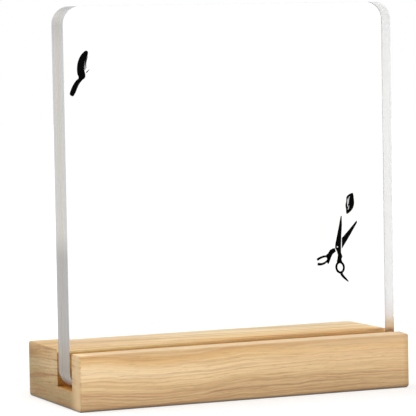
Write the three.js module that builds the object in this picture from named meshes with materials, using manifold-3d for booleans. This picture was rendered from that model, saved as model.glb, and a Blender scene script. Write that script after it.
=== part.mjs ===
// Desk sign: a clear acrylic plate that stands loose in a groove along a solid wood base.
// Lengths are in millimetres, with X along the base, Y to the rear and Z up.
// The origin is the middle of the base's underside.

import * as THREE from "three";
import { RoundedBoxGeometry } from "three/addons/geometries/RoundedBoxGeometry.js";
import { mergeVertices } from "three/addons/utils/BufferGeometryUtils.js";
import Module from "manifold-3d";

// Wood base, a planed block with every edge eased
const baseLength = 100;
const baseDepth = 41;
const baseHeight = 15.5;
const baseEdgeRadius = 1.4;
const baseEdgeSteps = 5;

// Groove, milled from end to end and nearer to the front
const frontLip = 6.2;
const woodUnderGroove = 5.2;
const grooveMouthChamfer = 0.35;
const cutterOverrun = 2;

// Acrylic plate, cut from clear sheet and set in at the base's left end
const plateWidth = 99;
const plateHeight = 104.4;
const plateThickness = 9;
const plateCornerRadius = 5;
const plateCornerSteps = 16;
const plateArris = 0.3;
const plateSideClearance = 1.2;

// What the groove takes from the plate that stands in it
const grooveWidth = plateThickness + 2 * plateSideClearance;
const baseFront = -baseDepth / 2;
const grooveMiddle = baseFront + frontLip + grooveWidth / 2;
const baseLeftEnd = -baseLength / 2;

const wood = new THREE.MeshStandardMaterial({
  color: 0xdcba8e,
  roughness: 0.6,
  metalness: 0,
});
const acrylic = new THREE.MeshStandardMaterial({
  color: 0xf4f8f7,
  roughness: 0.06,
  metalness: 0,
  transparent: true,
  opacity: 0.35,
});

// A drawing's own axes, named by where they point on the sign
const towardsRight = new THREE.Vector3(1, 0, 0);
const towardsRear = new THREE.Vector3(0, 1, 0);
const towardsFront = new THREE.Vector3(0, -1, 0);
const upwards = new THREE.Vector3(0, 0, 1);

const wasm = await Module();
wasm.setup();

function asSolid(geometry) {
  const bare = geometry.clone();
  bare.deleteAttribute("normal");
  bare.deleteAttribute("uv");
  const merged = mergeVertices(bare);
  return new wasm.Manifold(
    new wasm.Mesh({
      numProp: 3,
      vertProperties: merged.attributes.position.array,
      triVerts: new Uint32Array(merged.index.array),
    }),
  );
}

function asGeometry(solid) {
  const mesh = solid.getMesh();
  const geometry = new THREE.BufferGeometry();
  geometry.setAttribute(
    "position",
    new THREE.BufferAttribute(mesh.vertProperties, mesh.numProp),
  );
  geometry.setIndex(new THREE.BufferAttribute(mesh.triVerts, 1));
  const faceted = geometry.toNonIndexed();
  faceted.computeVertexNormals();
  return faceted;
}

// The groove's section with its floor at height 0, opened at the mouth and run on above the wood
function grooveSection(width, depth, chamfer) {
  const half = width / 2;
  const section = new THREE.Shape();
  section.moveTo(-half, 0);
  section.lineTo(half, 0);
  section.lineTo(half, depth - chamfer);
  section.lineTo(half + 2 * chamfer, depth + chamfer);
  section.lineTo(-half - 2 * chamfer, depth + chamfer);
  section.lineTo(-half, depth - chamfer);
  section.closePath();
  return section;
}

function makeWoodBase() {
  const block = new RoundedBoxGeometry(
    baseLength,
    baseDepth,
    baseHeight,
    baseEdgeSteps,
    baseEdgeRadius,
  );
  block.translate(0, 0, baseHeight / 2);

  const cutter = new THREE.ExtrudeGeometry(
    grooveSection(
      grooveWidth,
      baseHeight - woodUnderGroove,
      grooveMouthChamfer,
    ),
    { depth: baseLength + 2 * cutterOverrun, bevelEnabled: false },
  );
  cutter.applyMatrix4(
    new THREE.Matrix4().makeBasis(towardsRear, upwards, towardsRight),
  );
  cutter.translate(baseLeftEnd - cutterOverrun, grooveMiddle, woodUnderGroove);

  return asGeometry(asSolid(block).subtract(asSolid(cutter)));
}

// A rectangle with round corners, drawn from its lower left corner
function plateOutline(width, height, radius) {
  const outline = new THREE.Shape();
  const quarter = Math.PI / 2;
  outline.moveTo(radius, 0);
  outline.lineTo(width - radius, 0);
  outline.absarc(width - radius, radius, radius, -quarter, 0);
  outline.lineTo(width, height - radius);
  outline.absarc(width - radius, height - radius, radius, 0, quarter);
  outline.lineTo(radius, height);
  outline.absarc(radius, height - radius, radius, quarter, 2 * quarter);
  outline.lineTo(0, radius);
  outline.absarc(radius, radius, radius, 2 * quarter, 3 * quarter);
  return outline;
}

function makeAcrylicPlate() {
  const plate = new THREE.ExtrudeGeometry(
    plateOutline(plateWidth, plateHeight, plateCornerRadius),
    {
      depth: plateThickness - 2 * plateArris,
      curveSegments: plateCornerSteps,
      bevelEnabled: true,
      bevelThickness: plateArris,
      bevelSize: plateArris,
      bevelOffset: -plateArris,
      bevelSegments: 2,
    },
  );
  plate.translate(0, 0, plateArris - plateThickness / 2);
  plate.applyMatrix4(
    new THREE.Matrix4().makeBasis(towardsRight, upwards, towardsFront),
  );
  return plate;
}

const sign = new THREE.Group();

const woodBase = new THREE.Mesh(makeWoodBase(), wood);
woodBase.name = "wood_base";
sign.add(woodBase);

const acrylicPlate = new THREE.Mesh(makeAcrylicPlate(), acrylic);
acrylicPlate.name = "acrylic_plate";
acrylicPlate.position.set(baseLeftEnd, grooveMiddle, woodUnderGroove);
sign.add(acrylicPlate);

export default sign;
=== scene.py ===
"""Desk sign: a clear acrylic plate that stands in the groove of a solid wood base, as in its photograph."""

import math

import bmesh
import bpy
from mathutils import Matrix, Vector


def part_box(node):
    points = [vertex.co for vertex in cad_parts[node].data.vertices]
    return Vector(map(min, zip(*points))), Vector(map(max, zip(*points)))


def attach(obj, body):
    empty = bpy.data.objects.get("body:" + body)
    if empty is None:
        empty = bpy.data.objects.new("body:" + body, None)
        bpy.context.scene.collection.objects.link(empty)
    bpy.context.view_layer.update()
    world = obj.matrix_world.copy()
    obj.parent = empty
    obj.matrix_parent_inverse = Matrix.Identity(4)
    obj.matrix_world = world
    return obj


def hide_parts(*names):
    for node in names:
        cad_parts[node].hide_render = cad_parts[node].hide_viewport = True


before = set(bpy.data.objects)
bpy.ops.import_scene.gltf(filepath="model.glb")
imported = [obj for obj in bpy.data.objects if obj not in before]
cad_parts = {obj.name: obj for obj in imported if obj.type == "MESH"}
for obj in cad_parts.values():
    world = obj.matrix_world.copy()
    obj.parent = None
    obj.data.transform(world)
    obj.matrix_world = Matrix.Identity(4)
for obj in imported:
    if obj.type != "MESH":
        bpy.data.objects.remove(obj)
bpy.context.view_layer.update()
scene = bpy.context.scene
scene.view_settings.view_transform = "Standard"
mm = 0.001

# Camera
# A long lens just below the plate's top edge, to the left of the sign, turned a degree about its own axis.
# It stands three quarters of a metre away and is aimed near the middle of the sign.
camera_azimuth = math.radians(-23.2)
camera_elevation = math.radians(4.03)
camera_roll = math.radians(-1.01)
camera_distance = 762.1 * mm
camera_aim = Vector((-2.71, 0, 52.27)) * mm
camera_lens_and_film_width = (233.7, 36.0)


def new_object(name, data):
    """An object with that data, put in the scene."""
    made = bpy.data.objects.new(name, data)
    scene.collection.objects.link(made)
    return made


camera_data = bpy.data.cameras.new("camera")
camera_data.lens, camera_data.sensor_width = camera_lens_and_film_width
camera_data.sensor_fit = "HORIZONTAL"
camera = new_object("camera", camera_data)
scene.camera = camera
away_from_sign = Vector(
    (
        math.sin(camera_azimuth) * math.cos(camera_elevation),
        -math.cos(camera_azimuth) * math.cos(camera_elevation),
        math.sin(camera_elevation),
    )
)
facing = away_from_sign.to_track_quat("Z", "Y").to_matrix()
camera.matrix_world = Matrix.LocRotScale(
    camera_aim + away_from_sign * camera_distance,
    facing @ Matrix.Rotation(camera_roll, 3, "Z"),
    None,
)


# Wood base
# A planed block of light, straight-grained wood. Its long edges and ends are eased by sanding, and a groove
# for the plate is milled along it from end to end, nearer to the front.
groove_clearance = 1.2 * mm
top_edge_radius = 0.8 * mm
bottom_edge_radius = 1.0 * mm
left_end_edge_radius = 0.5 * mm
right_end_edge_radius = 1.0 * mm
groove_mouth_radius = 0.35 * mm
groove_end_radius = 0.25 * mm
groove_corner_radius = 0.2 * mm
round_steps = 6
joining_distance = 0.001 * mm

base_low, base_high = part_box("wood_base")
plate_low, plate_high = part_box("acrylic_plate")
groove_front = plate_low.y - groove_clearance
groove_rear = plate_high.y + groove_clearance
groove_floor = plate_low.z


def rounded_corner(y, z, radius, first_angle, turn, in_groove=False):
    """The points of a rounded corner of the section, which starts facing first_angle.

    turn is 1 for a corner that stands out and -1 for one that goes in. Each point is the round's centre,
    the directions from it to the point and to the sharp corner, the signed radius, and if in the groove.
    """
    quarter = math.pi / 2
    start = math.radians(first_angle)
    outward = 1 if turn > 0 else -1
    middle = start + turn * quarter / 2
    mitre = Vector((math.cos(middle), math.sin(middle))) * math.sqrt(2)
    centre = Vector((y, z)) - mitre * radius * outward
    points = []
    for step in range(round_steps + 1):
        angle = start + turn * quarter * step / round_steps
        normal = Vector((math.cos(angle), math.sin(angle)))
        points.append((centre, normal, mitre, radius * outward, in_groove))
    return points


def base_section():
    """The base's section in Y and Z, anticlockwise as seen from its right end."""
    section = []
    section += rounded_corner(base_low.y, base_low.z, bottom_edge_radius, 180, 1)
    section += rounded_corner(base_high.y, base_low.z, bottom_edge_radius, 270, 1)
    section += rounded_corner(base_high.y, base_high.z, top_edge_radius, 0, 1)
    section += rounded_corner(groove_rear, base_high.z, groove_mouth_radius, 90, 1, True)
    section += rounded_corner(groove_rear, groove_floor, groove_corner_radius, 180, -1, True)
    section += rounded_corner(groove_front, groove_floor, groove_corner_radius, 90, -1, True)
    section += rounded_corner(groove_front, base_high.z, groove_mouth_radius, 0, 1, True)
    section += rounded_corner(base_low.y, base_high.z, top_edge_radius, 90, 1)
    return section


def settle(mesh, data, within):
    """Joins points that lie within that distance, turns the faces outwards and puts the mesh in data."""
    bmesh.ops.remove_doubles(mesh, verts=mesh.verts, dist=within)
    bmesh.ops.recalc_face_normals(mesh, faces=mesh.faces)
    mesh.to_mesh(data)
    mesh.free()


def make_base_mesh():
    """The section run along the base, drawn in at both ends, with a cap on each."""
    section = base_section()
    mesh = bmesh.new()
    rings = []
    ends = ((base_low.x, 1, left_end_edge_radius), (base_high.x, -1, right_end_edge_radius))
    for end, inwards, end_radius in ends:
        steps = range(round_steps + 1)
        for step in steps if inwards > 0 else reversed(steps):
            angle = math.pi / 2 * (1 - step / round_steps)
            ring = []
            for centre, normal, mitre, corner_radius, in_groove in section:
                radius = groove_end_radius if in_groove else end_radius
                left_of_round = corner_radius - radius * (1 - math.cos(angle))
                used_up = corner_radius > 0 > left_of_round
                eased_place = centre + (mitre if used_up else normal) * left_of_round
                along = end + inwards * radius * (1 - math.sin(angle))
                ring.append(mesh.verts.new((along, *eased_place)))
            rings.append(ring)
    for ring, following in zip(rings, rings[1:]):
        for index in range(len(section)):
            after = (index + 1) % len(section)
            mesh.faces.new((ring[index], following[index], following[after], ring[after]))
    mesh.faces.new(rings[0])
    mesh.faces.new(reversed(rings[-1]))
    data = bpy.data.meshes.new("oiled_wood_base")
    settle(mesh, data, joining_distance)
    data.shade_smooth()
    return data


def linear(red, green, blue):
    """A screen colour, 0 to 255 a channel, as the shader's linear colour."""
    shares = (red / 255, green / 255, blue / 255)
    return tuple(s / 12.92 if s <= 0.04045 else ((s + 0.055) / 1.055) ** 2.4 for s in shares) + (1.0,)


def new_material(name):
    """An empty node material, with its tree and its one Principled shader."""
    material = bpy.data.materials.new(name)
    material.use_nodes = True
    return material, material.node_tree, material.node_tree.nodes["Principled BSDF"]


def feed(tree, node, inputs):
    """Joins each input of a node to the output that is given for it, or sets it to the plain value."""
    for name, value in inputs.items():
        if isinstance(value, bpy.types.NodeSocket):
            tree.links.new(value, node.inputs[name])
        else:
            node.inputs[name].default_value = value


def add(tree, kind, *, inputs=(), **settings):
    """A node of that kind in the tree, with its settings made and its inputs fed."""
    node = tree.nodes.new(kind)
    for name, value in settings.items():
        setattr(node, name, value)
    feed(tree, node, dict(inputs))
    return node


def math_node(tree, operation, first, second=0.0):
    """The result of one sum on two values."""
    return add(tree, "ShaderNodeMath", operation=operation, inputs={0: first, 1: second}).outputs[0]


def times(tree, product, *others):
    """All the values multiplied with each other."""
    for value in others:
        product = math_node(tree, "MULTIPLY", product, value)
    return product


def off(tree, value, middle):
    """How far value lies from middle, to either side."""
    return math_node(tree, "ABSOLUTE", math_node(tree, "SUBTRACT", value, middle))


def eased(tree, value, over, shares=(0.0, 1.0)):
    """A share that goes smoothly from the first of shares to the second while value goes over its range."""
    (low, high), (first, last) = over, shares
    return add(
        tree,
        "ShaderNodeMapRange",
        interpolation_type="SMOOTHSTEP",
        inputs={"Value": value, "From Min": low, "From Max": high, "To Min": first, "To Max": last},
    ).outputs["Result"]


def mixed(tree, share, first, second, blend="MIX"):
    """Two colours mixed by share."""
    inputs = {0: share, 6: first, 7: second}
    return add(tree, "ShaderNodeMix", data_type="RGBA", blend_type=blend, inputs=inputs).outputs[2]


def tinted(tree, share, colour, tint):
    """A colour multiplied by a tint, by share."""
    return mixed(tree, share, colour, tint, "MULTIPLY")


def object_place(tree):
    """The place on the piece, in metres."""
    return add(tree, "ShaderNodeTexCoord").outputs["Object"]


def mapped(tree, place, turn=(0, 0, 0), scale=(1, 1, 1)):
    """A place stretched by scale and then turned."""
    node = add(tree, "ShaderNodeMapping", inputs={"Vector": place, "Rotation": turn, "Scale": scale})
    return node.outputs[0]


def in_millimetres(tree, place):
    """A place in metres, as millimetres."""
    return mapped(tree, place, scale=(1 / mm,) * 3)


def axes(tree, place):
    """The X, Y and Z of a place."""
    parts = add(tree, "ShaderNodeSeparateXYZ", inputs={"Vector": place}).outputs
    return parts["X"], parts["Y"], parts["Z"]


def joined_axes(tree, x=0.0, y=0.0, z=0.0):
    """The place, size or turn with that X, Y and Z."""
    return add(tree, "ShaderNodeCombineXYZ", inputs={"X": x, "Y": y, "Z": z}).outputs[0]


def noise(tree, place, scale=1.0, detail=3.0, roughness=0.5):
    """Soft random patches, about 0.5 in the mean."""
    return add(
        tree,
        "ShaderNodeTexNoise",
        inputs={"Vector": place, "Scale": scale, "Detail": detail, "Roughness": roughness},
    ).outputs["Fac"]


def streaks(tree, place, along, across, detail=2.0, roughness=0.5):
    """Noise drawn out along the grain. along and across are how many of its patches lie in a millimetre."""
    return noise(tree, mapped(tree, place, scale=(along, across, across)), detail=detail, roughness=roughness)


def bump(tree, relief, strength, depth):
    """The normal of a surface with that relief."""
    inputs = {"Strength": strength, "Distance": depth, "Height": relief}
    return add(tree, "ShaderNodeBump", inputs=inputs).outputs["Normal"]


def ramp(tree, value, stops):
    """A colour that changes with value through the stops, each a place and a colour."""
    node = add(tree, "ShaderNodeValToRGB", inputs={"Fac": value})
    elements = node.color_ramp.elements
    while len(elements) < len(stops):
        elements.new(0.5)
    for element, (place, colour) in zip(elements, stops):
        element.position = place
        element.color = colour
    return node.outputs["Color"]


# The block's and the groove's sides in millimetres, as the wood's material reads them
half_length, base_rear, base_top = (side / mm for side in base_high)
base_front = base_low.y / mm
lip_side, rear_side, groove_bed = (side / mm for side in (groove_front, groove_rear, groove_floor))
groove_middle = (lip_side + rear_side) / 2
groove_half_width = (rear_side - lip_side) / 2

dark_ring = linear(176, 124, 80)
dark_pore = linear(142, 100, 62)


def distance_from_heart(tree, grain_place):
    """How far the wood lies from the tree's heart, in millimetres, with the bow and ripple of its growth."""
    heart_depth, heart_height = -8.0, -200.0
    flattening = 0.12
    bow_height, ripple_height = 5.0, 2.4
    dip_place, dip_reach, dip_depth = -24.0, 27.0, 1.3
    x, y, z = axes(tree, grain_place)
    sideways = math_node(tree, "SUBTRACT", y, heart_depth)
    upwards = math_node(tree, "SUBTRACT", z, heart_height)
    squares = [math_node(tree, "POWER", side, 2.0) for side in (sideways, upwards)]
    distance = math_node(tree, "SQRT", math_node(tree, "ADD", *squares))
    flattened = mapped(tree, grain_place, scale=(1.0, flattening, 1.0))
    bow = streaks(tree, flattened, along=0.016, across=0.014, detail=1.0)
    ripple = streaks(tree, flattened, along=0.06, across=0.2, detail=3.0)
    for wave, height in ((bow, bow_height), (ripple, ripple_height)):
        swing = math_node(tree, "SUBTRACT", wave, 0.5)
        distance = math_node(tree, "ADD", distance, times(tree, swing, height))
    dip = eased(tree, off(tree, x, dip_place), over=(0.0, dip_reach), shares=(dip_depth, 0.0))
    return math_node(tree, "ADD", distance, dip)


def yearly_lines(tree, distance):
    """The dark line that opens each year's ring, 0 to 1, uneven in its spacing and strength."""
    ring_spacing = 2.2
    wanders_to_a_millimetre, wander_by = 0.35, 2.4
    wander = add(
        tree,
        "ShaderNodeTexNoise",
        noise_dimensions="1D",
        inputs={"W": distance, "Scale": wanders_to_a_millimetre, "Detail": 1.0},
    ).outputs["Fac"]
    years = math_node(tree, "DIVIDE", distance, ring_spacing)
    years = math_node(tree, "ADD", years, times(tree, wander, wander_by))
    part_of_year = math_node(tree, "FRACT", years)
    good_year = add(
        tree,
        "ShaderNodeTexWhiteNoise",
        noise_dimensions="1D",
        inputs={"W": math_node(tree, "FLOOR", years)},
    ).outputs["Value"]
    rise = eased(tree, part_of_year, over=(0.0, 0.06))
    fall = eased(tree, part_of_year, over=(0.07, 0.26), shares=(1.0, 0.0))
    return times(tree, rise, fall, eased(tree, good_year, over=(0.1, 0.8), shares=(0.25, 1.0)))


def ring_lines(tree, distance, lines):
    """Lines at chosen distances from the heart, each a distance, a half-width and a strength; 0 off them."""
    full_strength_within = 0.05
    drawn = 0.0
    for line_distance, half_width, strength in lines:
        off_line = off(tree, distance, line_distance)
        line = eased(tree, off_line, over=(full_strength_within, half_width), shares=(strength, 0.0))
        drawn = math_node(tree, "MAXIMUM", line, drawn)
    return drawn


def long_grain_colour(tree, spot, grain_place, distance, end_grain, fibre, pores):
    """The wood along its grain: a tone for each depth, darker layers, the rings' lines, fibres and pores."""
    innermost, outermost = 200.0, 220.0
    # The lowest tones, at the block's foot, are darker: the wood's own tone, and partly painted shade from
    # the desk.
    tones = (
        (0.0, linear(194, 160, 114)),
        (0.12, linear(207, 174, 129)),
        (0.25, linear(218, 183, 137)),
        (0.33, linear(231, 199, 149)),
        (0.52, linear(245, 215, 167)),
        (0.64, linear(238, 203, 149)),
        (0.72, linear(225, 182, 124)),
        (0.8, linear(230, 196, 145)),
        (1.0, linear(236, 207, 158)),
    )
    low_rings = (
        (201.1, 0.3, 0.35), (202.1, 0.4, 0.5), (203.0, 0.26, 0.3), (203.8, 0.36, 0.65),
        (204.6, 0.26, 0.4), (205.5, 0.34, 0.42), (206.7, 0.26, 0.25),
    )
    middle_rings = ((208.3, 0.26, 0.15), (209.3, 0.3, 0.26), (210.3, 0.24, 0.22), (211.5, 0.22, 0.24))
    pale_band_distance = 211.0
    layer_flattening = 0.2
    yearly_line_strength = 0.65
    rosy = linear(220, 168, 126)
    low_line = linear(164, 126, 86)
    pale_wood = linear(252, 226, 184)
    redder = linear(247, 240, 236)

    x, y, _ = axes(tree, grain_place)
    layer_place = joined_axes(tree, x, times(tree, y, layer_flattening), distance)
    layers = streaks(tree, layer_place, along=0.022, across=1.1, detail=3.0, roughness=0.6)
    thin_layers = streaks(tree, layer_place, along=0.05, across=3.4, detail=3.0, roughness=0.6)
    gaps = streaks(tree, layer_place, along=0.04, across=1.2, detail=3.0)
    broken = eased(tree, gaps, over=(0.38, 0.56), shares=(0.35, 1.0))
    swelling = streaks(tree, layer_place, along=0.03, across=0.5)
    swell = eased(tree, swelling, over=(0.35, 0.62), shares=(0.25, 1.0))
    blush = streaks(tree, layer_place, along=0.03, across=0.7)
    fainter_above = eased(tree, distance, over=(204.0, 209.0), shares=(1.0, 0.45))
    line = times(tree, yearly_lines(tree, distance), broken, fainter_above)
    low_down = eased(tree, distance, over=(204.0, 208.0), shares=(0.3, 0.0))
    low_layers = times(tree, eased(tree, thin_layers, over=(0.5, 0.64)), low_down)
    low_lines = times(tree, ring_lines(tree, distance, low_rings), swell)
    middle_lines = times(tree, ring_lines(tree, distance, middle_rings), broken)
    long_grain = math_node(tree, "SUBTRACT", 1.0, end_grain)

    depth = add(
        tree,
        "ShaderNodeMapRange",
        inputs={"Value": distance, "From Min": innermost, "From Max": outermost},
    ).outputs["Result"]
    colour = ramp(tree, depth, tones)
    colour = mixed(tree, eased(tree, blush, over=(0.52, 0.72), shares=(0.0, 0.3)), colour, rosy)
    colour = mixed(tree, eased(tree, layers, over=(0.48, 0.74), shares=(0.0, 0.32)), colour, dark_ring)
    colour = mixed(tree, eased(tree, thin_layers, over=(0.48, 0.74), shares=(0.0, 0.36)), colour, dark_ring)
    colour = mixed(tree, times(tree, line, yearly_line_strength), colour, dark_ring)
    colour = mixed(tree, times(tree, low_layers, long_grain), colour, dark_pore)
    colour = mixed(tree, times(tree, low_lines, long_grain), colour, low_line)
    colour = mixed(tree, times(tree, middle_lines, long_grain), colour, dark_ring)

    off_pale_band = off(tree, distance, pale_band_distance)
    pale_band = eased(tree, off_pale_band, over=(0.8, 2.2), shares=(1.0, 0.0))
    pale_at_left = eased(tree, spot[0], over=(-38.0, 0.0), shares=(0.42, 0.0))
    colour = mixed(tree, times(tree, pale_band, pale_at_left), colour, pale_wood)
    wide_band = eased(tree, off_pale_band, over=(1.6, 3.2), shares=(1.0, 0.0))
    redder_at_right = eased(tree, spot[0], over=(-12.0, 30.0), shares=(0.0, 0.8))
    colour = tinted(tree, times(tree, wide_band, redder_at_right), colour, redder)

    colour = mixed(tree, eased(tree, fibre, over=(0.5, 0.76), shares=(0.0, 0.3)), colour, dark_pore)
    more_on_lines = eased(tree, line, over=(0.0, 0.6), shares=(0.25, 0.6))
    return mixed(tree, times(tree, pores, more_on_lines), colour, dark_pore)


def end_grain_colour(tree, colour, spot, grain_place, distance, end_grain):
    """The cut ends: flatter in colour, darker to the rear, crossed by rings, with a painted highlight by the
    front.
    """
    end_rings = ((207.8, 0.42, 0.75), (212.4, 0.28, 0.55), (215.4, 0.28, 0.45))
    fine_line_flattening = 0.03
    foot_tint, top_tint = linear(234, 240, 232), linear(246, 242, 236)
    rear_tint = linear(222, 220, 211)
    golden = linear(246, 212, 160)
    painted_shade_at_right_end = linear(232, 226, 214)
    sanded = linear(252, 217, 166)

    x, y, z = spot
    end_tint = mixed(tree, eased(tree, z, over=(0.0, base_top)), foot_tint, top_tint)
    colour = tinted(tree, end_grain, colour, end_tint)
    to_rear = eased(tree, y, over=(0.0, 18.0))
    above_foot = eased(tree, z, over=(2.0, 6.0))
    below_top = eased(tree, z, over=(13.0, 14.2), shares=(1.0, 0.0))
    colour = tinted(tree, times(tree, end_grain, to_rear, above_foot, below_top), colour, rear_tint)
    near_top = eased(tree, z, over=(12.2, 13.6), shares=(0.0, 0.55))
    to_front = eased(tree, y, over=(0.0, 20.0), shares=(1.0, 0.0))
    colour = mixed(tree, times(tree, end_grain, near_top, to_front), colour, golden)

    across = axes(tree, grain_place)[1]
    end_place = joined_axes(tree, y=times(tree, across, fine_line_flattening), z=distance)
    fine_lines = streaks(tree, end_place, along=1.0, across=1.5, detail=4.0, roughness=0.65)
    fine_lines = eased(tree, fine_lines, over=(0.48, 0.64), shares=(0.0, 0.65))
    colour = mixed(tree, times(tree, end_grain, fine_lines), colour, dark_ring)
    colour = mixed(tree, times(tree, end_grain, ring_lines(tree, distance, end_rings)), colour, dark_ring)

    # Painted shade: the wood is darker within a few millimetres of the right end, where its round turns from
    # the light.
    shade_by_right_end = eased(tree, x, over=(half_length - 2.4, half_length - 0.6), shares=(0.0, 0.7))
    colour = tinted(tree, shade_by_right_end, colour, painted_shade_at_right_end)
    # Painted highlight: the left end is paler by the front, where its rounded front corner catches the light.
    on_left_end = eased(tree, x, over=(-half_length, 0.3 - half_length), shares=(1.0, 0.0))
    by_front = eased(tree, y, over=(base_front + 1.5, base_front + 8.5), shares=(0.75, 0.0))
    return mixed(tree, times(tree, on_left_end, by_front), colour, sanded)


def before_groove(tree, y):
    """1 in front of the groove, 0 in and behind it."""
    return eased(tree, y, over=(lip_side - 0.5, lip_side), shares=(1.0, 0.0))


def behind_groove(tree, y):
    """1 behind the groove, 0 in and in front of it."""
    return eased(tree, y, over=(rear_side - 0.2, rear_side))


def planed_top(tree, z):
    """1 on the block's top, 0 below it."""
    return eased(tree, z, over=(base_top - 0.7, base_top - 0.2))


def front_colour(tree, colour, spot):
    """The front: pinker at the top right, a painted sheen on the lip's top, painted shade on its round."""
    pinkish = linear(222, 194, 162)
    painted_sheen_on_lip = linear(254, 232, 196)
    painted_shade_on_round = linear(222, 208, 196)
    x, y, z = spot
    in_front = before_groove(tree, y)
    top_of_front = eased(tree, z, over=(base_top - 2.8, base_top - 1.5))
    to_right = eased(tree, x, over=(-5.0, 30.0), shares=(0.0, 0.35))
    colour = mixed(tree, times(tree, top_of_front, to_right, in_front), colour, pinkish)
    # Painted sheen: the lip's flat top is paled as if it caught the light.
    flat_top = eased(tree, z, over=(base_top - 0.3, base_top - 0.05), shares=(0.0, 0.42))
    colour = mixed(tree, times(tree, flat_top, in_front), colour, painted_sheen_on_lip)
    # Painted shade: the front's top round is darkened below the lip's sheen.
    front_round = eased(tree, y, over=(base_front + 0.15, base_front + 0.7), shares=(1.0, 0.0))
    top_round = eased(tree, z, over=(base_top - 1.2, base_top - 0.5), shares=(0.0, 0.5))
    return tinted(tree, times(tree, front_round, top_round), colour, painted_shade_on_round)


def rear_top_colour(tree, colour, spot, place):
    """The rear top: slanting streaks, paler wood at right, golden wood and painted shade by the groove."""
    streak_slant = math.radians(7)
    streak_brown = linear(184, 140, 72)
    pale_gold, pale_cream = linear(244, 214, 140), linear(242, 232, 196)
    golden = linear(234, 190, 124)
    x, y, z = spot
    rear_top = times(tree, planed_top(tree, z), behind_groove(tree, y))
    to_right = eased(tree, x, over=(-35.0, 10.0), shares=(0.0, 0.38))
    paler = mixed(tree, eased(tree, y, over=(rear_side + 1.0, base_rear - 3.0)), pale_gold, pale_cream)
    colour = mixed(tree, times(tree, rear_top, to_right), colour, paler)
    slanted = mapped(tree, place, turn=(0, 0, streak_slant))
    top_lines = streaks(tree, slanted, along=0.014, across=0.55, detail=4.0, roughness=0.65)
    top_lines = eased(tree, top_lines, over=(0.43, 0.62), shares=(0.0, 0.7))
    colour = mixed(tree, times(tree, rear_top, top_lines), colour, streak_brown)
    # Golden wood and painted shade: the top is darker and more golden by the groove, where the plate stands.
    shade_by_groove = eased(tree, y, over=(rear_side, rear_side + 4.0), shares=(1.0, 0.0))
    less_at_left = eased(tree, x, over=(-40.0, 10.0), shares=(0.1, 1.0))
    return tinted(tree, times(tree, rear_top, shade_by_groove, less_at_left), colour, golden)


def groove_colour(tree, colour, spot):
    """The groove: browner inside, a painted light band under its rear edge, painted shade on the lip."""
    painted_light_on_wall = linear(255, 224, 162)
    painted_shade_at_lip = linear(196, 156, 112)
    milled_and_shade_tint = linear(238, 194, 100)
    painted_shade_by_left_end = linear(212, 216, 222)
    x, y, z = spot
    # Painted light: a pale band on the rear wall just under the mouth, where light falls into the groove.
    on_rear_wall = eased(tree, y, over=(rear_side + 0.05, rear_side + 0.4), shares=(1.0, 0.0))
    near_mouth = eased(tree, z, over=(base_top - 1.5, base_top - 0.7))
    less_at_right = eased(tree, x, over=(-38.0, 10.0), shares=(1.0, 0.3))
    painted_light_band = times(tree, on_rear_wall, behind_groove(tree, y), near_mouth, less_at_right)
    colour = mixed(tree, painted_light_band, colour, painted_light_on_wall)
    # Painted shade: the lip's top is browner along the groove's edge.
    shaded_lip_edge = eased(tree, y, over=(lip_side - 1.6, lip_side - 0.5))
    less_at_middle = eased(tree, x, over=(-50.0, 8.0), shares=(0.8, 0.0))
    shaded_lip_edge = times(tree, shaded_lip_edge, before_groove(tree, y), planed_top(tree, z), less_at_middle)
    colour = tinted(tree, shaded_lip_edge, colour, painted_shade_at_lip)
    # Browner and more orange inside: the milled wood's tone, and partly painted shade and bounced light.
    from_middle = off(tree, y, groove_middle)
    within = eased(tree, from_middle, over=(groove_half_width, groove_half_width + 0.1), shares=(1.0, 0.0))
    above_bed = eased(tree, z, over=(groove_bed - 0.2, groove_bed - 0.05))
    below_mouth = eased(tree, z, over=(base_top - 1.1, base_top - 0.48), shares=(1.0, 0.0))
    milled = times(tree, within, above_bed, below_mouth)
    colour = tinted(tree, milled, colour, milled_and_shade_tint)
    # Painted shade: the rear wall is darker and greyer by the left end.
    rear_wall = eased(tree, y, over=(groove_middle + 3.0, groove_middle + 5.0))
    by_left_end = eased(tree, x, over=(0.3 - half_length, 3.0 - half_length), shares=(0.8, 0.0))
    return tinted(tree, times(tree, rear_wall, milled, by_left_end), colour, painted_shade_by_left_end)


def foot_colour(tree, colour, spot):
    """The block's foot: painted shade near the desk, and a grey painted contact shadow at the bottom."""
    painted_foot_shade = linear(200, 196, 190)
    painted_contact_shadow = linear(120, 118, 116)
    _, _, z = spot
    # Painted shade and contact shadow, darkest where the block meets the desk.
    colour = tinted(tree, eased(tree, z, over=(0.1, 1.5), shares=(0.6, 0.0)), colour, painted_foot_shade)
    return mixed(tree, eased(tree, z, over=(0.2, 0.55), shares=(0.8, 0.0)), colour, painted_contact_shadow)


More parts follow.
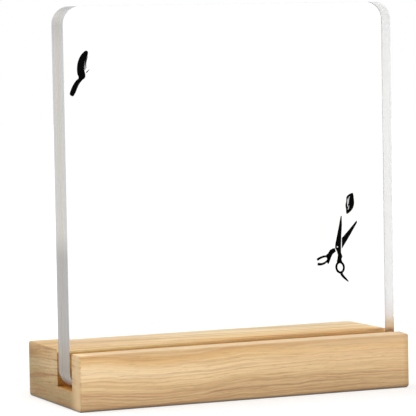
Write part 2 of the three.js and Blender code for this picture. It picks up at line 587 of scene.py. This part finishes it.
def oiled_wood():
    """Ring-porous wood in the round: rings about a far-off heart, with pores and fibres along the block."""
    grain_tilt = math.radians(0.3)
    fibre_relief, pore_relief = 0.5, 0.6
    material, tree, shader = new_material("oiled_wood")
    place = in_millimetres(tree, object_place(tree))
    spot = axes(tree, place)
    grain_place = mapped(tree, place, turn=(0, grain_tilt, 0))
    distance = distance_from_heart(tree, grain_place)
    end_grain = eased(tree, off(tree, spot[0], 0.0), over=(half_length - 0.6, half_length - 0.1))
    fibre = streaks(tree, grain_place, along=0.13, across=3.4, detail=4.0, roughness=0.65)
    pores = eased(tree, streaks(tree, grain_place, along=0.3, across=4.6), over=(0.6, 0.72))

    colour = long_grain_colour(tree, spot, grain_place, distance, end_grain, fibre, pores)
    colour = end_grain_colour(tree, colour, spot, grain_place, distance, end_grain)
    colour = front_colour(tree, colour, spot)
    colour = rear_top_colour(tree, colour, spot, place)
    colour = groove_colour(tree, colour, spot)
    colour = foot_colour(tree, colour, spot)

    relief = math_node(tree, "SUBTRACT", times(tree, fibre, fibre_relief), times(tree, pores, pore_relief))
    surface = {
        "Base Color": colour,
        "Roughness": eased(tree, fibre, over=(0.3, 0.7), shares=(0.62, 0.76)),
        "Normal": bump(tree, relief, strength=0.35, depth=0.06 * mm),
        "Specular IOR Level": 0.4,
    }
    feed(tree, shader, surface)
    return material


wood_piece = new_object("oiled_wood_base", make_base_mesh())
wood_piece.data.materials.append(oiled_wood())
weighted = wood_piece.modifiers.new("flat faces stay flat", "WEIGHTED_NORMAL")
weighted.keep_sharp = True
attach(wood_piece, "base")
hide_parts("wood_base")


# Acrylic plate
# One piece of thick clear sheet, cut to a rectangle with round corners. Its faces keep the sheet's gloss, its
# edges are sanded to a fine satin, and the arrises are broken so that they aren't sharp to the hand.
plate_corner_radius = 5.0 * mm
plate_corner_steps = 20
arris_radius = 0.14 * mm
arris_steps = 3
arris_least_angle = math.radians(60)
acrylic_ior = 1.49
stand_up = (math.pi / 2, 0, 0)


def new_node_tree(name, sockets):
    """A Geometry Nodes tree that gives out a mesh and takes the named inputs, and those inputs."""
    tree = bpy.data.node_groups.new(name, "GeometryNodeTree")
    tree.interface.new_socket("Geometry", in_out="OUTPUT", socket_type="NodeSocketGeometry")
    for socket_name, kind in sockets.items():
        tree.interface.new_socket(socket_name, in_out="INPUT", socket_type="NodeSocket" + kind)
    return tree, add(tree, "NodeGroupInput").outputs


def moved(tree, mesh, to, turn=(0, 0, 0)):
    """A mesh turned about the origin and then moved."""
    inputs = {"Geometry": mesh, "Translation": to, "Rotation": turn}
    return add(tree, "GeometryNodeTransform", inputs=inputs).outputs[0]


def plate_tree():
    """Geometry Nodes: a rectangle whose corners are rounded, filled and run out to the sheet's thickness."""
    tree, given = new_node_tree(
        "cut_sheet",
        {
            "Width": "Float",
            "Height": "Float",
            "Thickness": "Float",
            "Corner Radius": "Float",
            "Corner Steps": "Int",
            "Lower Rear Left": "Vector",
            "Face Material": "Material",
            "Edge Material": "Material",
            "Left Edge Material": "Material",
        },
    )
    corner_radius = given["Corner Radius"]
    rectangle = add(
        tree,
        "GeometryNodeCurvePrimitiveQuadrilateral",
        inputs={"Width": given["Width"], "Height": given["Height"]},
    )
    rounded = add(
        tree,
        "GeometryNodeFilletCurve",
        mode="POLY",
        inputs={"Curve": rectangle.outputs[0], "Count": given["Corner Steps"], "Radius": corner_radius},
    )
    face = add(tree, "GeometryNodeFillCurve", mode="NGONS", inputs={"Curve": rounded.outputs[0]})
    run_out = add(
        tree,
        "GeometryNodeExtrudeMesh",
        mode="FACES",
        inputs={"Mesh": face.outputs[0], "Offset Scale": given["Thickness"], "Individual": False},
    )
    back = add(tree, "GeometryNodeFlipFaces", inputs={"Mesh": face.outputs[0]})
    joined = add(tree, "GeometryNodeJoinGeometry")
    tree.links.new(run_out.outputs["Mesh"], joined.inputs[0])
    tree.links.new(back.outputs[0], joined.inputs[0])
    closed = add(
        tree,
        "GeometryNodeMergeByDistance",
        inputs={"Geometry": joined.outputs[0], "Distance": joining_distance},
    )
    half_size = joined_axes(tree, times(tree, given["Width"], 0.5), times(tree, given["Height"], 0.5))
    cornered = moved(tree, closed.outputs[0], half_size)
    finished = moved(tree, cornered, given["Lower Rear Left"], stand_up)
    place = add(tree, "GeometryNodeInputPosition").outputs[0]
    left_edge = axes(tree, given["Lower Rear Left"])[0]
    from_left = math_node(tree, "SUBTRACT", axes(tree, place)[0], left_edge)
    at_left = add(tree, "FunctionNodeCompare", operation="LESS_THAN", inputs={0: from_left, 1: corner_radius})
    side = run_out.outputs["Side"]
    left_side = add(
        tree,
        "FunctionNodeBooleanMath",
        operation="AND",
        inputs={0: side, 1: at_left.outputs[0]},
    ).outputs[0]
    places = {"Face Material": True, "Edge Material": side, "Left Edge Material": left_side}
    for material, where in places.items():
        finished = add(
            tree,
            "GeometryNodeSetMaterial",
            inputs={"Geometry": finished, "Selection": where, "Material": given[material]},
        ).outputs[0]
    add(tree, "NodeGroupOutput", inputs={0: finished})
    return tree


def evaluated_mesh(piece):
    """A new mesh with what the piece's curve or modifiers make."""
    evaluated = piece.evaluated_get(bpy.context.evaluated_depsgraph_get())
    return bpy.data.meshes.new_from_object(evaluated)


def grown(name, tree, values):
    """A piece with the plain mesh that a Geometry Nodes tree makes from a value for each of its inputs."""
    piece = new_object(name, bpy.data.meshes.new(name))
    modifier = piece.modifiers.new(name, "NODES")
    modifier.node_group = tree
    for item in tree.interface.items_tree:
        if item.in_out == "INPUT":
            modifier[item.identifier] = values[item.name]
    made = evaluated_mesh(piece)
    if made.materials[0] is None:
        made.materials.pop(index=0)
    piece.modifiers.clear()
    piece.data = made
    made.name = piece.name
    return piece


def new_acrylic(name, light_passed):
    """A material of acrylic, with the share of the light that passes its surface."""
    material, tree, shader = new_material(name)
    feed(tree, shader, {"IOR": acrylic_ior, "Transmission Weight": light_passed})
    return material, tree, shader


def polished_face():
    """The sheet's own surface: glossy and clear, with the faint haze that wiping leaves."""
    clear_sheet = linear(254.4, 254.4, 253.2)
    wiping_slant = 0.6
    marks_to_a_metre = (18.0, 60.0, 140.0)
    material, tree, shader = new_acrylic("polished_acrylic_face", light_passed=1.0)
    wiped = mapped(tree, object_place(tree), turn=(0, wiping_slant, 0), scale=marks_to_a_metre)
    haze = eased(tree, noise(tree, wiped), over=(0.5, 0.8), shares=(0.0, 0.02))
    feed(tree, shader, {"Base Color": clear_sheet, "Roughness": haze})
    return material


def sanding_lines(tree, place):
    """The fine lines that sanding leaves along an edge, 0 to 1 across them."""
    lines_to_a_metre = (9.0, 620.0, 9.0)
    return eased(tree, noise(tree, mapped(tree, place, scale=lines_to_a_metre)), over=(0.32, 0.68))


def sanded_finish(tree, shader, colour, lines, glossiest, dullest):
    """Gives an edge its colour, and the sanding lines as its roughness and relief."""
    roughness = eased(tree, lines, over=(0.0, 1.0), shares=(glossiest, dullest))
    normal = bump(tree, lines, strength=0.1, depth=0.01 * mm)
    feed(tree, shader, {"Base Color": colour, "Roughness": roughness, "Normal": normal})


def satin_edge():
    """The edges at the right, top and foot: sanded fine, so that they still let much light through."""
    between_lines, on_lines = linear(248, 248, 254), linear(255, 255, 255)
    painted_wood_reflection = linear(214, 152, 62)
    painted_mouth_shade = linear(184, 150, 92)
    painted_top_shade = linear(231, 231, 233)
    material, tree, shader = new_acrylic("satin_acrylic_edge", light_passed=0.6)
    place = object_place(tree)
    lines = sanding_lines(tree, place)
    _, _, height = axes(tree, in_millimetres(tree, place))
    colour = mixed(tree, lines, between_lines, on_lines)
    # Painted reflection: the edge takes the wood's warm tone low down, as if it reflected the base.
    above_wood = eased(tree, height, over=(18.0, 26.5), shares=(0.85, 0.0))
    colour = tinted(tree, above_wood, colour, painted_wood_reflection)
    # Painted shade: browner where the edge goes into the groove's mouth.
    at_mouth = eased(tree, height, over=(15.0, 17.2), shares=(0.6, 0.0))
    colour = tinted(tree, at_mouth, colour, painted_mouth_shade)
    # Painted shade: greyer towards the top.
    by_top = eased(tree, height, over=(93.0, 105.0), shares=(0.0, 0.8))
    colour = tinted(tree, by_top, colour, painted_top_shade)
    sanded_finish(tree, shader, colour, lines, glossiest=0.16, dullest=0.26)
    return material


def broken_arris():
    """The narrow rounds between faces and edges, scraped and then rubbed almost clear."""
    scraped, rubbed = linear(228, 225, 238), linear(244, 242, 250)
    material, tree, shader = new_acrylic("scraped_acrylic_arris", light_passed=0.92)
    chatter = noise(tree, object_place(tree), scale=420.0)
    colour = mixed(tree, chatter, scraped, rubbed)
    roughness = eased(tree, chatter, over=(0.3, 0.7), shares=(0.08, 0.15))
    feed(tree, shader, {"Base Color": colour, "Roughness": roughness})
    return material


def milky_edge():
    """The left edge: painted milky light from the sheet's inside, and painted shade in its lower part."""
    painted_shade_up_to, milky_from = 40.0, 49.0
    out_of_groove = 18.0
    plate_left, plate_foot = plate_low.x / mm, plate_low.z / mm
    plate_middle = (plate_low.y + plate_high.y) / 2 / mm
    painted_middle_reflection = linear(255, 250, 241)
    groove_shade = linear(178, 164, 142)
    painted_wood_reflection_tint = linear(248, 239, 224)
    painted_foot_light = linear(236, 240, 248)
    painted_corner_shade = linear(164, 162, 170)
    top_tint = linear(239, 239, 239)
    material, tree, shader = new_acrylic("milky_acrylic_edge", light_passed=0.2)
    place = object_place(tree)
    lines = sanding_lines(tree, place)
    x, y, height = axes(tree, in_millimetres(tree, place))
    # Painted shade: the edge is greyer in its lower part.
    milky = mixed(tree, lines, linear(242, 242, 242), linear(248, 248, 243))
    grey = mixed(tree, lines, linear(196, 194, 198), linear(202, 200, 198))
    colour = mixed(tree, eased(tree, height, over=(painted_shade_up_to, milky_from)), grey, milky)
    # Painted reflection: a warmer line along the middle of the edge.
    along_middle = eased(tree, off(tree, y, plate_middle), over=(0.8, 3.6), shares=(1.0, 0.0))
    colour = tinted(tree, along_middle, colour, painted_middle_reflection)
    shaded = eased(tree, height, over=(plate_foot, out_of_groove), shares=(0.55, 0.0))
    above_round = eased(tree, height, over=(6.0, 10.5))
    colour = tinted(tree, times(tree, shaded, above_round), colour, groove_shade)
    # Painted reflection: the wood's tone low down, near the base.
    by_wood = eased(tree, height, over=(14.0, 21.0), shares=(1.0, 0.0))
    colour = tinted(tree, by_wood, colour, painted_wood_reflection_tint)
    # Painted light: the foot is lightened where the groove's shade would darken it.
    at_foot = eased(tree, height, over=(5.6, 9.0), shares=(0.6, 0.0))
    colour = mixed(tree, at_foot, colour, painted_foot_light)
    # Painted shade: darker round the top-left corner.
    inwards = math_node(tree, "SUBTRACT", x, plate_left)
    round_the_corner = eased(tree, inwards, over=(0.0, 3.2), shares=(0.0, 0.9))
    high_up = eased(tree, height, over=(96.0, 106.0))
    colour = tinted(tree, times(tree, round_the_corner, high_up), colour, painted_corner_shade)
    # Painted shade: greyer towards the top.
    colour = tinted(tree, eased(tree, height, over=(97.0, 105.0)), colour, top_tint)
    sanded_finish(tree, shader, colour, lines, glossiest=0.26, dullest=0.3)
    return material


plate_piece = grown(
    "clear_acrylic_plate",
    plate_tree(),
    {
        "Width": plate_high.x - plate_low.x,
        "Height": plate_high.z - plate_low.z,
        "Thickness": plate_high.y - plate_low.y,
        "Corner Radius": plate_corner_radius,
        "Corner Steps": plate_corner_steps,
        "Lower Rear Left": (plate_low.x, plate_high.y, plate_low.z),
        "Face Material": polished_face(),
        "Edge Material": satin_edge(),
        "Left Edge Material": milky_edge(),
    },
)
plate_piece.data.shade_smooth()
plate_piece.data.materials.append(broken_arris())
arris = plate_piece.modifiers.new("broken arris", "BEVEL")
arris.width = arris_radius
arris.segments = arris_steps
arris.limit_method = "ANGLE"
arris.angle_limit = arris_least_angle
arris.material = len(plate_piece.data.materials) - 1
plate_piece.modifiers.new("flat faces stay flat", "WEIGHTED_NORMAL")
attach(plate_piece, "plate")
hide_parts("acrylic_plate")


# Printed figures
# Black ink on the plate's front face: a hairbrush, a pair of open shears and a small brush head. The places
# are millimetres from the plate's left edge and above its foot, and the ink stands a hair's breadth proud.
ink_thickness = 0.05 * mm
ink_lift = 0.01 * mm
ink_joining_distance = 0.0001 * mm
ink_origin = Vector((plate_low.x, plate_low.y - ink_lift - ink_thickness / 2, plate_low.z))


def printing_ink():
    """Dense black screen ink, slightly uneven in tone and sheen."""
    black, thin_black = linear(0, 0, 0), linear(7, 6, 6)
    material, tree, shader = new_material("black_printing_ink")
    mottle = noise(tree, object_place(tree), scale=900.0)
    colour = mixed(tree, mottle, black, thin_black)
    roughness = eased(tree, mottle, over=(0.3, 0.7), shares=(0.45, 0.6))
    feed(tree, shader, {"Base Color": colour, "Roughness": roughness, "Specular IOR Level": 0.02})
    return material


def curved(points, steps=6, closed=True):
    """A smooth line through the points."""
    places = [Vector(p) for p in points]
    run = [places[-1], *places, *places[:2]] if closed else [places[0], *places, places[-1]]
    line = []
    for before, start, end, after in zip(run, run[1:], run[2:], run[3:]):
        for step in range(steps):
            t = step / steps
            line.append(
                0.5
                * (
                    2 * start
                    + (end - before) * t
                    + (2 * before - 5 * start + 4 * end - after) * t**2
                    + (3 * start - before - 3 * end + after) * t**3
                )
            )
    if not closed:
        line.append(places[-1])
    return line


def ellipse(centre, half_width, half_height, turn=0, steps=28):
    """The points of an ellipse turned by that many degrees."""
    turned = Matrix.Rotation(math.radians(turn), 2)
    points = []
    for step in range(steps):
        angle = 2 * math.pi * step / steps
        reach = Vector((half_width * math.cos(angle), half_height * math.sin(angle)))
        points.append(Vector(centre) + turned @ reach)
    return points


def tapered(points, widths, steps=6):
    """A stroke along a smooth line, as wide at each of its points as widths says."""
    line = curved(points, steps, closed=False)
    left, right = [], []
    for index, place in enumerate(line):
        ahead = line[min(index + 1, len(line) - 1)] - line[max(index - 1, 0)]
        across = Vector((-ahead.y, ahead.x)).normalized()
        share = index / steps
        whole = min(int(share), len(widths) - 2)
        width = widths[whole] + (widths[whole + 1] - widths[whole]) * (share - whole)
        left.append(place + across * width / 2)
        right.append(place - across * width / 2)
    return left + right[::-1]


def print_on_plate(name, outlines):
    """Prints a piece of ink with those outlines on the plate. An outline inside another is a hole in it."""
    curve = bpy.data.curves.new(name, "CURVE")
    curve.dimensions = "2D"
    curve.fill_mode = "BOTH"
    curve.extrude = ink_thickness / 2
    for outline in outlines:
        spline = curve.splines.new("POLY")
        spline.points.add(len(outline) - 1)
        for point, place in zip(spline.points, outline):
            point.co = (place[0] * mm, place[1] * mm, 0, 1)
        spline.use_cyclic_u = True
    drawn = new_object(name, curve)
    bpy.context.view_layer.update()
    data = evaluated_mesh(drawn)
    bpy.data.objects.remove(drawn)
    data.name = name
    data.transform(Matrix.Rotation(stand_up[0], 4, "X"))
    data.transform(Matrix.Translation(ink_origin))
    mesh = bmesh.new()
    mesh.from_mesh(data)
    settle(mesh, data, ink_joining_distance)
    data.materials.clear()
    data.materials.append(ink)
    piece = new_object(name, data)
    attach(piece, "plate")


ink = printing_ink()

# Hairbrush
# A brush seen from its side: a bowed back that runs on into a waisted handle, with short bristles to the
# right, one of which has come loose.
brush_outline = [
    (6.55, 92.35), (5.9, 92.0), (4.9, 90.95), (4.15, 89.4), (3.85, 87.8),
    (3.9, 86.2), (4.25, 85.0), (3.5, 84.3), (2.6, 83.1), (2.0, 81.9),
    (1.6, 80.8), (1.95, 80.25), (2.6, 80.1), (3.3, 81.1), (3.8, 82.2),
    (4.4, 83.3), (5.25, 84.3), (6.1, 85.0), (6.22, 86.0), (5.92, 87.1),
    (5.95, 88.4), (6.3, 89.7), (6.95, 90.95), (7.1, 92.0),
]
loose_bristle = [(6.5, 86.4), (6.9, 86.75), (7.4, 87.2)]
loose_bristle_widths = [0.3, 0.22, 0.12]
lowest_root = (5.95 * mm, 86.9 * mm, 0)
roots_bowed_towards = (5.75 * mm, 88.4 * mm, 0)
highest_root = (6.45 * mm, 90.0 * mm, 0)
bristle_count = 15
bristle_length = 1.1 * mm
bristle_width = 0.085 * mm
bristle_slant = math.radians(52)


def bristle_tree():
    """Geometry Nodes: short strokes of ink set along a bowed line, all at one slant to it."""
    tree, given = new_node_tree(
        "printed_bristles",
        {
            "Lowest Root": "Vector",
            "Bowed Towards": "Vector",
            "Highest Root": "Vector",
            "Count": "Int",
            "Stroke Size": "Vector",
            "Slant": "Float",
            "Place": "Vector",
            "Material": "Material",
        },
    )
    roots = add(
        tree,
        "GeometryNodeCurveQuadraticBezier",
        inputs={
            "Start": given["Lowest Root"],
            "Middle": given["Bowed Towards"],
            "End": given["Highest Root"],
        },
    ).outputs[0]
    spaced = add(tree, "GeometryNodeResampleCurve", inputs={"Curve": roots, "Count": given["Count"]})
    stroke = add(tree, "GeometryNodeMeshCube", inputs={"Size": given["Stroke Size"]})
    length = axes(tree, given["Stroke Size"])[0]
    reach = joined_axes(tree, x=times(tree, length, 0.5))
    rooted = moved(tree, stroke.outputs[0], reach)
    turned = joined_axes(tree, z=given["Slant"])
    strokes = add(
        tree,
        "GeometryNodeInstanceOnPoints",
        inputs={"Points": spaced.outputs[0], "Instance": rooted, "Rotation": turned},
    )
    upright = moved(tree, strokes.outputs[0], given["Place"], stand_up)
    realized = add(tree, "GeometryNodeRealizeInstances", inputs={"Geometry": upright})
    inked = add(
        tree,
        "GeometryNodeSetMaterial",
        inputs={"Geometry": realized.outputs[0], "Material": given["Material"]},
    )
    add(tree, "NodeGroupOutput", inputs={0: inked.outputs[0]})
    return tree


print_on_plate("printed_hairbrush", [curved(brush_outline)])
print_on_plate("printed_loose_bristle", [tapered(loose_bristle, loose_bristle_widths)])
bristles = grown(
    "printed_bristles",
    bristle_tree(),
    {
        "Lowest Root": lowest_root,
        "Bowed Towards": roots_bowed_towards,
        "Highest Root": highest_root,
        "Count": bristle_count,
        "Stroke Size": (bristle_length, bristle_width, ink_thickness),
        "Slant": bristle_slant,
        "Place": ink_origin,
        "Material": ink,
    },
)
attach(bristles, "plate")

# Shears
# A pair of open hairdressing shears: two long blades, a screw, a shank, two finger rings and a finger rest.
# They are printed in one colour, so the near blade is parted from the far one by a bare line.
near_blade = [
    (82.75, 44.1), (82.45, 44.0), (81.7, 40.6), (80.65, 36.2), (80.55, 35.1),
    (81.1, 34.1), (81.4, 33.0), (81.25, 32.0), (81.0, 31.0), (81.8, 30.7),
    (82.75, 31.0), (82.5, 31.8), (82.85, 32.5), (82.4, 33.6), (82.42, 35.3),
    (82.55, 38.3), (82.8, 41.5),
]
far_blade = [
    (87.5, 42.5), (87.2, 42.3), (84.9, 39.9), (82.72, 37.75), (82.68, 34.7),
    (85.2, 38.3), (87.55, 41.9),
]
far_shank = [
    (80.5, 35.0), (79.8, 34.95), (78.9, 34.5), (78.3, 33.6), (77.7, 33.2),
    (77.95, 32.2), (78.0, 30.9), (78.4, 30.55), (78.85, 31.4), (79.25, 32.4),
    (79.75, 33.3), (80.75, 34.0),
]
left_ring = [
    (75.0, 30.75), (76.3, 30.65), (77.5, 31.1), (78.3, 31.9), (78.2, 32.6),
    (77.2, 32.8), (76.0, 32.5), (74.85, 31.95),
]
left_ring_widths = [0.8, 0.7, 0.55, 0.6, 0.6, 0.6, 0.65, 0.7]
finger_rest = [(82.25, 28.1), (82.8, 27.05), (83.6, 26.25), (84.6, 25.3)]
finger_rest_widths = [0.85, 0.75, 0.65, 0.3]
lower_ring = (82.05, 29.45)
ring_slant = 12
ring_outside = ellipse(lower_ring, 1.5, 1.8, ring_slant)
ring_inside = ellipse(lower_ring, 0.84, 1.15, ring_slant)
screw_hole = ellipse((81.28, 35.3), 0.19, 0.19)
print_on_plate("printed_shears_near_blade", [near_blade, screw_hole])
print_on_plate("printed_shears_far_blade", [far_blade])
print_on_plate("printed_shears_shank", [far_shank])
print_on_plate("printed_shears_left_ring", [tapered(left_ring, left_ring_widths)])
print_on_plate("printed_shears_lower_ring", [ring_outside, ring_inside])
print_on_plate("printed_shears_finger_rest", [tapered(finger_rest, finger_rest_widths)])

# Brush head
# The small head of a brush alone, a pointed oval printed in black.
# Its bristles show as three bare slits to the left.
head_outline = [
    (86.4, 50.35), (86.65, 49.0), (86.75, 47.6), (86.45, 46.3), (85.6, 45.2),
    (84.35, 44.55), (84.15, 45.9), (84.0, 47.0), (84.25, 48.2), (84.35, 49.3),
    (84.9, 49.9), (85.6, 50.25),
]
wide_slit = tapered([(85.3, 49.5), (85.0, 48.5), (84.95, 47.4)], [0.1, 0.22, 0.12])
middle_slit = tapered([(84.75, 48.9), (84.6, 47.7), (84.75, 46.5)], [0.1, 0.2, 0.14])
low_slit = tapered([(85.1, 46.9), (85.0, 46.3), (84.75, 45.7)], [0.1, 0.18, 0.1])
print_on_plate("printed_brush_head", [curved(head_outline), wide_slit, middle_slit, low_slit])


# Floor, backdrop and lamps
# A pale floor under a white backdrop, with one broad lamp high in front and a dimmer one above and behind.
# Through the plate, floor and backdrop are a little over white, which makes up for what its faces reflect.
floor_radius = 2.0
floor_drop = 0.02 * mm
floor_grey = (0.6, 0.6, 0.6, 1.0)
floor_glow = 0.45
floor_glow_through_plate = 0.34
white = (1.0, 1.0, 1.0, 1.0)
sky_strength = 0.5
backdrop_strength = 1.0
backdrop_strength_through_plate = 1.045


def seen_directly(tree):
    """1 for rays from the camera and through or off the plate, 0 for the light that falls on the object."""
    path = add(tree, "ShaderNodeLightPath")
    seen = math_node(tree, "MAXIMUM", path.outputs["Is Camera Ray"], path.outputs["Is Glossy Ray"])
    return math_node(tree, "MAXIMUM", seen, path.outputs["Is Transmission Ray"])


def through_plate(tree, elsewhere, through):
    """The first strength, or the second for rays that have come through the plate."""
    has_come_through = add(tree, "ShaderNodeLightPath").outputs["Is Transmission Ray"]
    return eased(tree, has_come_through, over=(0.0, 1.0), shares=(elsewhere, through))


def pale_floor():
    """A matt pale floor that glows where it is seen, so that it is as white as the backdrop."""
    material, tree, shader = new_material("pale_floor")
    glow = through_plate(tree, floor_glow, floor_glow_through_plate)
    surface = {
        "Base Color": floor_grey,
        "Roughness": 0.9,
        "Specular IOR Level": 0.0,
        "Emission Color": white,
        "Emission Strength": times(tree, seen_directly(tree), glow),
    }
    feed(tree, shader, surface)
    return material


def sun(name, strength, softness, direction):
    """A distant lamp of that angular size in degrees, which shines from direction."""
    data = bpy.data.lights.new(name, "SUN")
    data.energy = strength
    data.angle = math.radians(softness)
    lamp = new_object(name, data)
    lamp.matrix_world = Vector(direction).to_track_quat("Z", "Y").to_matrix().to_4x4()


floor_mesh = bmesh.new()
bmesh.ops.create_circle(floor_mesh, cap_ends=True, segments=96, radius=floor_radius)
floor_data = bpy.data.meshes.new("floor")
floor_mesh.to_mesh(floor_data)
floor_mesh.free()
floor_data.transform(Matrix.Translation((0, 0, base_low.z - floor_drop)))
floor_data.materials.append(pale_floor())
floor = new_object("floor", floor_data)

world = bpy.data.worlds.new("white_backdrop")
scene.world = world
world.use_nodes = True
backdrop = world.node_tree
shown = through_plate(backdrop, backdrop_strength, backdrop_strength_through_plate)
strength = eased(backdrop, seen_directly(backdrop), over=(0.0, 1.0), shares=(sky_strength, shown))
feed(backdrop, backdrop.nodes["Background"], {"Color": white, "Strength": strength})

sun("soft_front_lamp", strength=1.6, softness=35, direction=(0.2, -0.75, 0.62))
sun("soft_rear_lamp", strength=1.3, softness=35, direction=(-0.25, 0.4, 0.88))
